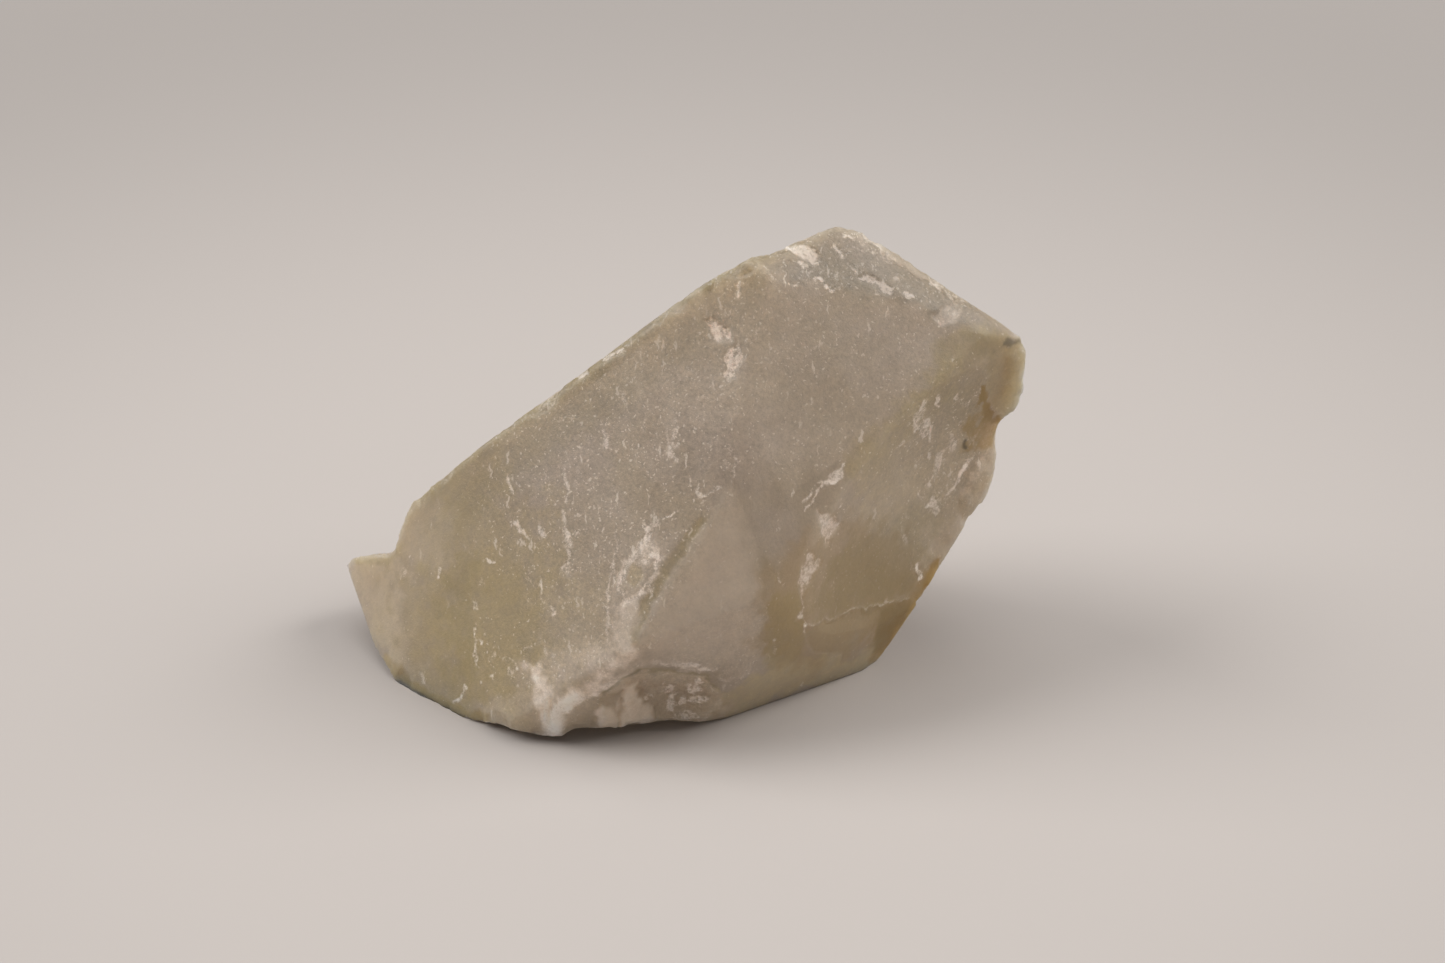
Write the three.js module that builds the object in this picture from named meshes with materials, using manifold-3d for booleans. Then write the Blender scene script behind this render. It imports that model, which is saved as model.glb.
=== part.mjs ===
// A hand-sized lump of aragonite, broken from a vein: one stone, bounded by flat and shell-shaped fractures.
// Millimetres, +Z up, X along the stone's length, -Y towards the front. It stands on its resting spot at Z = 0,
// with the origin under the middle of its box.
import * as THREE from "three";
import { ConvexGeometry } from "three/addons/geometries/ConvexGeometry.js";
import { mergeVertices } from "three/addons/utils/BufferGeometryUtils.js";
import Module from "manifold-3d";

const wasm = await Module();
wasm.setup();

// Corners of the lump, [x, y, z], before anything is struck off it.
const lumpCorners = {
  upperLeftEdge: [[-27, 4, 15.5], [-19.5, 0.5, 24], [-10, 0, 32], [-4, -1, 37], [2, 0, 42], [6, 0.5, 44.5]],
  topEdge: [[11, 3.5, 45], [15, 6, 45.2], [18, 7, 43.9], [20.5, 6.5, 41.4], [26, 6.5, 37.7]],
  capBorder: [[8.5, -1.2, 43.1], [13.3, 0.2, 41.6], [22.5, 3.1, 39], [26.5, 3.5, 36.1]],
  rightEnd: [[30, 5.5, 35], [33, 7, 32.7], [33.6, 7, 31], [33.8, 7, 28], [32.5, 7, 23.5], [31, 8.5, 18], [30.3, 8.5, 14.5]],
  rightFoot: [[26, 5, 9.5], [23.8, 1.5, 6], [22.3, 1, 4.3], [21.4, 1, 2.3]],
  frontFoot: [[4.5, -11.2, 0.2], [1, -12.9, 0.5], [-3.5, -14.2, 0.8], [-11.5, -15, 1], [-12.6, -15.6, 0.6]],
  leftFoot: [[-17.5, -14.5, 1], [-21.6, -10.5, 0.9], [-25.8, -6.5, 0.4], [-28.5, -4.5, 0.3]],
  leftBlade: [[-30.7, 0, 1.2], [-32.3, 5, 3.1], [-34, 7.5, 6.3], [-33.1, 8, 7.1]],
  frontRidges: [[6, -7.5, 33.5], [5.5, -11.5, 27], [8.5, -15, 16.5], [-4, -18, 13.5], [-5.5, -17.5, 10]],
  rightRidges: [[29.5, 4, 34.4], [23.5, -1.5, 31], [18, -5.5, 28], [14.3, -9, 20.5], [12, -11.3, 10], [6, -14.4, 6.4]],
  upperBack: [[-20, 12, 14], [4, 11, 33], [14, 12, 39], [26, 13, 32], [30, 14, 22], [0, 19, 18], [17, 20, 20]],
  lowerBack: [[-27, 13, 3], [-10, 18, 5], [10, 19, 6], [22, 14, 7]],
  restingSpot: [
    [7.7, -8.8, 0], [11.4, -6.1, 0], [14.6, -4.6, 0], [18, -2.4, 0], [19.5, -0.6, 0], [17, 5, 0],
    [8, 9.5, 0], [-6, 10, 0], [-15, 5, 0], [-14, -4, 0], [-4, -9, 0],
  ],
};

// Everywhere below, bearing is the way a surface faces, seen from above in degrees: 0 to the front, 90 to the
// right, 180 to the back and -90 to the left. rise is how far it looks upwards, in degrees.

// The step fracture on the left end. What lies outside both planes broke away, and left a thin blade below.
const leftStep = {
  bladeTop: { at: [-29, 6.5, 7.9], bearing: 178, rise: 50 },
  wall: { at: [-27.3, 6, 9.4], bearing: -126, rise: 14 },
};
const wedgeSize = 160; // wider than the stone in every direction

// Shell-shaped scars: at each, a ball of the given radius is sunk into the surface to the given depth.
const scars = {
  rightFace: { at: [21.3, -2.2, 17.5], bearing: 46, rise: -4, radius: 80, depth: 1.1 },
  frontUndercut: { at: [-1.1, -15.4, 5.4], bearing: 8, rise: -20, radius: 14, depth: 1.3 },
  topNotch: { at: [9, 2.4, 44.8], bearing: -10, rise: 62, radius: 4, depth: 0.6 },
  rightNotch: { at: [31.6, 8, 20.7], bearing: 85, rise: 0, radius: 5, depth: 0.8 },
  lowBack: { at: [-2, 18.5, 6], bearing: 182, rise: -12, radius: 46, depth: 3.4 },
  backRightCorner: { at: [28, 14, 25], bearing: 138, rise: 14, radius: 26, depth: 2 },
  topBackCorner: { at: [13, 13.5, 35.5], bearing: 174, rise: 38, radius: 34, depth: 1.2 },
};
const ballFacet = 2.2; // length of a ball's facets, within the limits on their number
const fewestFacets = 24;
const mostFacets = 96;

function facing({ bearing, rise }) {
  const turn = THREE.MathUtils.degToRad(bearing);
  const lift = THREE.MathUtils.degToRad(rise);
  return new THREE.Vector3(Math.sin(turn) * Math.cos(lift), -Math.cos(turn) * Math.cos(lift), Math.sin(lift));
}

function solidFrom(geometry) {
  geometry.deleteAttribute("normal");
  geometry.deleteAttribute("uv");
  const welded = mergeVertices(geometry);
  return new wasm.Manifold(
    new wasm.Mesh({
      numProp: 3,
      vertProperties: new Float32Array(welded.attributes.position.array),
      triVerts: new Uint32Array(welded.index.array),
    }),
  );
}

function geometryFrom(solid) {
  const { vertProperties, triVerts } = solid.getMesh();
  const geometry = new THREE.BufferGeometry();
  geometry.setAttribute("position", new THREE.BufferAttribute(vertProperties, 3));
  geometry.setIndex(new THREE.BufferAttribute(triVerts, 1));
  return geometry;
}

// The lump is the tightest skin around its corners.
function makeLump() {
  const corners = Object.values(lumpCorners).flat();
  return solidFrom(new ConvexGeometry(corners.map((corner) => new THREE.Vector3(...corner))));
}

// All that lies outside a plane, as a big block with one face on it.
function makeOutside(plane) {
  const block = new THREE.BoxGeometry(wedgeSize, wedgeSize, wedgeSize);
  block.translate(0, 0, wedgeSize / 2);
  block.applyQuaternion(new THREE.Quaternion().setFromUnitVectors(new THREE.Vector3(0, 0, 1), facing(plane)));
  block.translate(...plane.at);
  return solidFrom(block);
}

function makeScarBall(scar) {
  const wanted = Math.round((2 * Math.PI * scar.radius) / ballFacet);
  const facets = THREE.MathUtils.clamp(wanted, fewestFacets, mostFacets);
  const ball = new THREE.SphereGeometry(scar.radius, facets, Math.round(facets / 2));
  const centre = new THREE.Vector3(...scar.at).addScaledVector(facing(scar), scar.radius - scar.depth);
  ball.translate(centre.x, centre.y, centre.z);
  return solidFrom(ball);
}

let stone = makeLump();
stone = stone.subtract(makeOutside(leftStep.bladeTop).intersect(makeOutside(leftStep.wall)));
for (const scar of Object.values(scars)) stone = stone.subtract(makeScarBall(scar));

const stoneGeometry = geometryFrom(stone);
stoneGeometry.computeBoundingBox();
const middle = stoneGeometry.boundingBox.getCenter(new THREE.Vector3());
stoneGeometry.translate(-middle.x, -middle.y, 0);

const aragonite = new THREE.MeshStandardMaterial({ color: 0x9a8b74, roughness: 0.5, metalness: 0 });
const stoneMesh = new THREE.Mesh(stoneGeometry, aragonite);
stoneMesh.name = "aragonite_stone";

const specimen = new THREE.Group();
specimen.add(stoneMesh);
export default specimen;
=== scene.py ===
import math

import bmesh
import bpy
import numpy as np
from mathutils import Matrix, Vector, kdtree


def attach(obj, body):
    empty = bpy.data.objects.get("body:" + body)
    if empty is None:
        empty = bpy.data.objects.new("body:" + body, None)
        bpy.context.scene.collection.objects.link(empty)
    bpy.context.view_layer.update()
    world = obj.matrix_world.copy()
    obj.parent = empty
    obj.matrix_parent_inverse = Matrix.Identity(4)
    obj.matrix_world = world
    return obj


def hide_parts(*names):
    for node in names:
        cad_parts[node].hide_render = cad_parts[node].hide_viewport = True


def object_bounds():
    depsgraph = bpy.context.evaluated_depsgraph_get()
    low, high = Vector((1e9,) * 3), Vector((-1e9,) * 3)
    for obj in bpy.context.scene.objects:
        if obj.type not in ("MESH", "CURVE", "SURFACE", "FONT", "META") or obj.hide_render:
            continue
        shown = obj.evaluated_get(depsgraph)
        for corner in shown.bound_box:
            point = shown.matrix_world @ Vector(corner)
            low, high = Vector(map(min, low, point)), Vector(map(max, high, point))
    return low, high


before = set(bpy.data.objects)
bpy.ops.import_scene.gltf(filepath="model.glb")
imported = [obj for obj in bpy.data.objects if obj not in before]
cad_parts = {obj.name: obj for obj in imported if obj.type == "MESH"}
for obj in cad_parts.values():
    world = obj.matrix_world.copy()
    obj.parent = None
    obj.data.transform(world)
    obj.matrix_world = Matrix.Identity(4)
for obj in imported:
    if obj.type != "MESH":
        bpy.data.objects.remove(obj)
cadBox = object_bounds()
scene = bpy.context.scene
mm = 0.001
print("frame loaded, box in mm:", [[round(c / mm, 1) for c in corner] for corner in cadBox])


# The camera stands in front and looks down on the stone.
cameraSetup = {
    "place": (4.2, -340.0, 216.1),  # mm
    "lookDown": 30,  # degrees below level
    "lens": 100,
    "sensor": 36,
    "clip": (0.01, 20),  # m
    "focus": 380,  # mm, the sight plane lies this far ahead
    "frame": (1445, 963),  # pixels across and down
    "grazing": (-0.12, 0.04),  # how much a face looks at the camera where marks fade out and are whole
}
pixel = cameraSetup["focus"] * cameraSetup["sensor"] / cameraSetup["lens"] / cameraSetup["frame"][0]  # mm


def makeCamera():
    data = bpy.data.cameras.new("camera")
    data.lens = cameraSetup["lens"]
    data.sensor_width = cameraSetup["sensor"]
    data.clip_start, data.clip_end = cameraSetup["clip"]
    camera = bpy.data.objects.new("camera", data)
    camera.location = Vector(cameraSetup["place"]) * mm
    camera.rotation_euler = (math.radians(90 - cameraSetup["lookDown"]), 0, 0)
    scene.collection.objects.link(camera)
    scene.camera = camera


makeCamera()

stageSetup = {
    "floorRadius": 2.0,  # m
    "floorSides": 96,
    "sweep": [  # m out and up for each ring past the flat floor
        (0.1, 0.005), (0.1, 0.015), (0.1, 0.03), (0.1, 0.05), (0.1, 0.08), (0.08, 0.11), (0.05, 0.14),
    ],
    "floorColor": (0.487, 0.452, 0.432),
    "world": {"Color": (0.93, 0.9, 0.88, 1), "Strength": 0.205},
    "floorShader": {"Roughness": 0.9, "Specular IOR Level": 0.2},
    # painted shade: the floor colour darkens away from the middle, as falling-off light would darken it
    "paintedShadeRing": (50, 180, 0.26),  # mm from the middle where the floor starts and ends dimming, and how far
    "lamps": [  # way to the lamp, how wide it looks in degrees, strength in W per square metre
        dict(name="leftTent", toward=(-352, 45, 305), spread=37, strength=1.91, color=(1, 0.985, 0.96)),
        dict(name="rightTent", toward=(352, 45, 305), spread=37, strength=1.91, color=(1, 0.98, 0.95)),
        dict(name="overhead", toward=(0, 150, 530), spread=43, strength=0.98, color=(1, 0.985, 0.97)),
    ],
}


def setInputs(tree, node, values):
    for key, value in values.items():
        if isinstance(value, bpy.types.NodeSocket):
            tree.links.new(value, node.inputs[key])
        else:
            node.inputs[key].default_value = value


def addNode(tree, kind, values, **settings):
    made = tree.nodes.new("ShaderNode" + kind)
    for key, value in settings.items():
        setattr(made, key, value)
    setInputs(tree, made, values)
    return made


def makeStage():
    bm = bmesh.new()
    sides, radius = stageSetup["floorSides"], stageSetup["floorRadius"]
    bmesh.ops.create_circle(bm, cap_ends=True, segments=sides, radius=radius)
    rim = [edge for edge in bm.edges if edge.is_boundary]
    for out, up in stageSetup["sweep"]:
        grown = bmesh.ops.extrude_edge_only(bm, edges=rim)["geom"]
        rim = [part for part in grown if isinstance(part, bmesh.types.BMEdge)]
        points = [part for part in grown if isinstance(part, bmesh.types.BMVert)]
        share = 1 + out / points[0].co.xy.length
        bmesh.ops.scale(bm, vec=(share, share, 1), verts=points)
        bmesh.ops.translate(bm, vec=(0, 0, up), verts=points)
    bmesh.ops.recalc_face_normals(bm, faces=bm.faces)
    for face in bm.faces:
        face.smooth = True
    mesh = bpy.data.meshes.new("floor")
    bm.to_mesh(mesh)
    bm.free()
    floor = bpy.data.objects.new("floor", mesh)
    scene.collection.objects.link(floor)
    material = bpy.data.materials.new("paleCloth")
    material.use_nodes = True
    tree = material.node_tree
    shader = tree.nodes["Principled BSDF"]
    # painted shade on the floor: its colour darkens with distance from the middle
    near, far, loss = stageSetup["paintedShadeRing"]
    color = stageSetup["floorColor"]
    paintedShadeColor = [c * (1 - loss) for c in color]
    coords = addNode(tree, "TexCoord", {}).outputs["Object"]
    length = addNode(tree, "VectorMath", {0: coords}, operation="LENGTH").outputs["Value"]
    span = {"Value": length, "From Min": near * mm, "From Max": far * mm}
    ring = addNode(tree, "MapRange", span, interpolation_type="SMOOTHSTEP").outputs[0]
    blend = addNode(tree, "Mix", {0: ring, 6: (*color, 1), 7: (*paintedShadeColor, 1)}, data_type="RGBA")
    setInputs(tree, shader, {"Base Color": blend.outputs[2], **stageSetup["floorShader"]})
    mesh.materials.append(material)

    world = bpy.data.worlds.new("tent")
    world.use_nodes = True
    setInputs(world.node_tree, world.node_tree.nodes["Background"], stageSetup["world"])
    scene.world = world

    for lamp in stageSetup["lamps"]:
        data = bpy.data.lights.new(lamp["name"], "SUN")
        data.angle = math.radians(lamp["spread"])
        data.energy = lamp["strength"]
        data.color = lamp["color"]
        light = bpy.data.objects.new(lamp["name"], data)
        light.location = Vector(lamp["toward"]) * mm
        light.rotation_euler = light.location.to_track_quat("Z", "Y").to_euler()
        scene.collection.objects.link(light)


makeStage()
scene.view_settings.view_transform = "Standard"
print("stage and lights set")


# The stone's fine surface starts as a copy of the CAD solid and is then worn, rippled and chipped.
stoneSetup = {
    "weld": 0.0005,  # mm, corners of the loose CAD triangles nearer than this are one
    "voxel": 0.25,  # mm, spacing of the fine mesh
    "faces": 194000,  # triangles kept, thinned first underneath and behind
    "thinning": {"behind": 0.9, "underneath": 0.96},
    "underneath": -0.8,  # a face that points down more than this is underneath
    "thinningSteps": 100,  # levels of weight
    "thinningPull": 100,  # how far the weights lead the thinning
    "edgeStep": 0.25,  # mm between the samples along a kept edge
    "leastKept": 0.01,  # an edge weaker than this isn't sampled
    "firstSmoothing": 2,  # rounds of smoothing all over
    "facetSoftening": 60,  # rounds of smoothing inside a fracture face
    "crispAngles": (7, 15),  # degrees over which an edge between CAD facets goes from lost to kept
    "crispReach": (0.35, 1.5),  # mm from such an edge over which the surface goes from kept to softened
    "footKept": (0.4, 1.6),  # mm above the floor where the foot goes from kept to softened
    "swells": [(9.0, 0.16), (4.2, 0.07), (1.7, 0.03)],  # size and height in mm of the uneven ground
    "swellCalm": 0.5,  # share of the swells lost at a kept edge
    "leanRounds": 12,  # rounds of blurring for the way a chip is struck
    "reliefRounds": 3,  # rounds of blurring for the way marks are cut
    "seatFade": (0.1, 1.2),  # mm above the floor over which the relief comes in
}


def makeFineCopy(node):
    bm = bmesh.new()
    bm.from_mesh(node.data)
    bmesh.ops.remove_doubles(bm, verts=bm.verts, dist=stoneSetup["weld"] * mm)
    mesh = bpy.data.meshes.new("stone_surface")
    bm.to_mesh(mesh)
    edges = sampleEdges(bm)
    bm.free()
    stone = bpy.data.objects.new("stone_surface", mesh)
    scene.collection.objects.link(stone)
    remesh = stone.modifiers.new("remesh", "REMESH")
    remesh.mode = "VOXEL"
    remesh.voxel_size = stoneSetup["voxel"] * mm
    applyModifiers(stone)
    stone.data.materials.clear()
    thinOut(stone)
    fine = stone.data
    fine.polygons.foreach_set("use_smooth", [True] * len(fine.polygons))
    print("fine stone:", len(fine.vertices), "points,", len(fine.polygons), "faces")
    return stone, edges


def applyModifiers(stone):
    bpy.context.view_layer.update()
    stone.data = bpy.data.meshes.new_from_object(stone.evaluated_get(bpy.context.evaluated_depsgraph_get()))
    stone.data.name = "stone_surface"
    stone.modifiers.clear()


def thinOut(stone):
    mesh = stone.data
    facing = readFacing(mesh)
    seen = frontView(readPoints(mesh), facing)[1]
    ease = stoneSetup["thinning"]
    below = facing[:, 2] < stoneSetup["underneath"]
    weights = np.where(below, ease["underneath"], ease["behind"]) * (1 - seen)
    levels = stoneSetup["thinningSteps"]
    group = stone.vertex_groups.new(name="unseen")
    for share in range(1, levels + 1):
        members = np.flatnonzero(np.round(weights * levels) == share)
        group.add(members.tolist(), share / levels, "REPLACE")
    thin = stone.modifiers.new("thin", "DECIMATE")
    thin.ratio = stoneSetup["faces"] / (2 * len(mesh.polygons))
    thin.vertex_group = group.name
    thin.vertex_group_factor = stoneSetup["thinningPull"]
    applyModifiers(stone)
    stone.vertex_groups.clear()
    bpy.data.meshes.remove(mesh)


def sampleEdges(bm):
    spots = []
    for edge in bm.edges:
        keep = ramp(math.degrees(edge.calc_face_angle()), *stoneSetup["crispAngles"])
        if keep > stoneSetup["leastKept"]:
            one, two = edge.verts[0].co / mm, edge.verts[1].co / mm
            steps = max(1, math.ceil((two - one).length / stoneSetup["edgeStep"]))
            spots += [(one.lerp(two, k / steps), keep) for k in range(steps + 1)]
    tree = kdtree.KDTree(len(spots))
    for index, (place, keep) in enumerate(spots):
        tree.insert(place, index)
    tree.balance()
    return tree, np.array([keep for place, keep in spots])


def readValues(items, name, width, kind=float):
    flat = np.empty(len(items) * width, kind)
    items.foreach_get(name, flat)
    return flat.reshape(-1, width)


def readPoints(mesh):
    return readValues(mesh.vertices, "co", 3) / mm


def readFacing(mesh):
    return readValues(mesh.vertex_normals, "vector", 3)


def readPairs(mesh):
    return readValues(mesh.edges, "vertices", 2, int)


def writePoints(mesh, points):
    mesh.vertices.foreach_set("co", (points * mm).ravel())
    mesh.update()


def blurred(values, pairs, rounds):
    one, two = pairs[:, 0], pairs[:, 1]
    count = len(values)
    weight = np.bincount(one, minlength=count) + np.bincount(two, minlength=count)
    columns = values.reshape(count, -1).copy()
    for turn in range(rounds):
        for c in range(columns.shape[1]):
            total = np.bincount(one, columns[two, c], count) + np.bincount(two, columns[one, c], count)
            columns[:, c] = 0.5 * columns[:, c] + 0.5 * total / weight
    return columns.reshape(values.shape)


def ramp(values, low, high):
    t = np.clip((values - low) / (high - low), 0, 1)
    return t * t * (3 - 2 * t)


def frontView(points, facing):
    tilt = math.radians(cameraSetup["lookDown"])
    reach = points - np.array(cameraSetup["place"])
    ahead = reach @ np.array((0, math.cos(tilt), -math.sin(tilt)))
    up = reach @ np.array((0, math.sin(tilt), math.cos(tilt)))
    seen = -(facing * reach).sum(1) / np.linalg.norm(reach, axis=1)
    scale = cameraSetup["focus"] / ahead
    return np.stack([reach[:, 0] * scale, up * scale], axis=1), ramp(seen, *cameraSetup["grazing"])


def pathDistance(places, path):
    nearest = np.full(len(places), np.inf)
    for start, end in zip(path[:-1], path[1:]):
        start, along = np.array(start), np.subtract(end, start)
        share = np.clip(((places - start) @ along) / (along @ along), 0, 1)
        nearest = np.minimum(nearest, np.linalg.norm(places - start - share[:, None] * along, axis=1))
    return nearest


# Paths on the sight plane where an edge of the CAD solid is rounded away, and a reach, in mm.
softLines = {
    "triangleRight": ([(2.2, 0.2), (4.2, -3.8), (4.6, -12.0), (3.4, -17.5)], 3.2),
    "faceRidge": ([(4.4, 18.6), (3.6, 10.0), (2.8, 2.0)], 2.5),
    "capBorder": ([(4.4, 19.6), (9.0, 18.4), (17.0, 17.6), (22.0, 14.6)], 2.2),
}
softCore = 0.4  # share of the reach over which nothing of the edge is kept


def softenFacets(mesh, edges):
    pairs = readPairs(mesh)
    points = readPoints(mesh)
    tree, strengths = edges
    found = [tree.find(p)[1:] for p in points]
    nearest = np.array([index for index, distance in found])
    distance = np.array([distance for index, distance in found])
    near, far = stoneSetup["crispReach"]
    crisp = strengths[nearest] * (1 - ramp(distance, near, far))
    places, seen = frontView(points, readFacing(mesh))
    for path, reach in softLines.values():
        crisp *= 1 - seen * (1 - ramp(pathDistance(places, path), softCore * reach, reach))
    crisp = np.maximum(crisp, 1 - ramp(points[:, 2], *stoneSetup["footKept"]))
    points = blurred(points, pairs, stoneSetup["firstSmoothing"])
    for turn in range(stoneSetup["facetSoftening"]):
        step = blurred(points, pairs, 1)
        points += (step - points) * (1 - crisp)[:, None]
    writePoints(mesh, points)
    return crisp
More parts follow.
